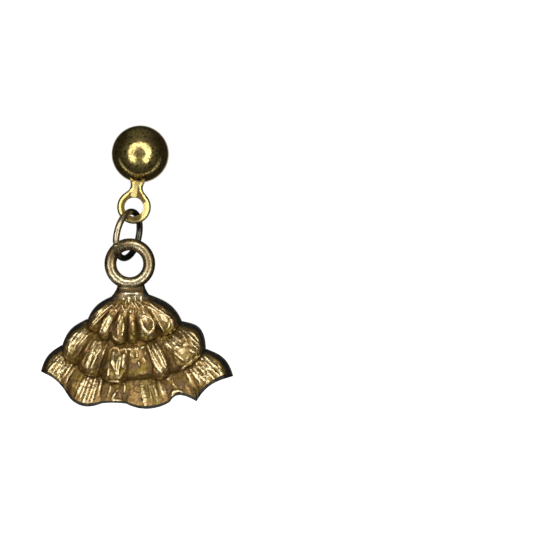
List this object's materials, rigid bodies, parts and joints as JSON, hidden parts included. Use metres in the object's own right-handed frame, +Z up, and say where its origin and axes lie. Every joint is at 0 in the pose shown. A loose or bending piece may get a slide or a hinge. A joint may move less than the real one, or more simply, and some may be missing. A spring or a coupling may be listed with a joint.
{
  "type": "dangle earring",
  "caption": "Drop earring: ball stud on a straight ear post, flat loop, split jump ring and a cast fan-shaped skirt of ruffled tiers in antiqued brass.",
  "frame": {"origin": "on the ear post's axis, where the post leaves the back of the ball and meets the ear lobe", "axes": "+Y along the ear post into the lobe, so the drop's front faces -Y; +Z up, against the way that the drop hangs; +X to the right seen from the front"},
  "size_m": [0.0203, 0.017, 0.0296],
  "materials": {
    "stud_brass": "polished plated brass, darkened with age",
    "blackened_wire": "blackened brass wire, rubbed bright on the outside",
    "antique_brass": "antiqued brass casting with dark patina in its folds and rubbed high spots"
  },
  "bodies": {
    "stud": {"ball_stud": "stud_brass"},
    "link": {"jump_ring": "blackened_wire"},
    "drop": {"ruffled_drop": "antique_brass"}
  },
  "joints": [
    {"name": "link_swing", "type": "hinge", "parent": "stud", "child": "link", "pos_m": [-0.00109, -0.00165, -0.00685], "axis": [1, 0, 0], "range_deg": [-35, 80]},
    {"name": "drop_swing", "type": "hinge", "parent": "link", "child": "drop", "pos_m": [-0.00189, -0.00165, -0.01088], "axis": [0, 1, 0], "range_deg": [-75, 75]}
  ]
}
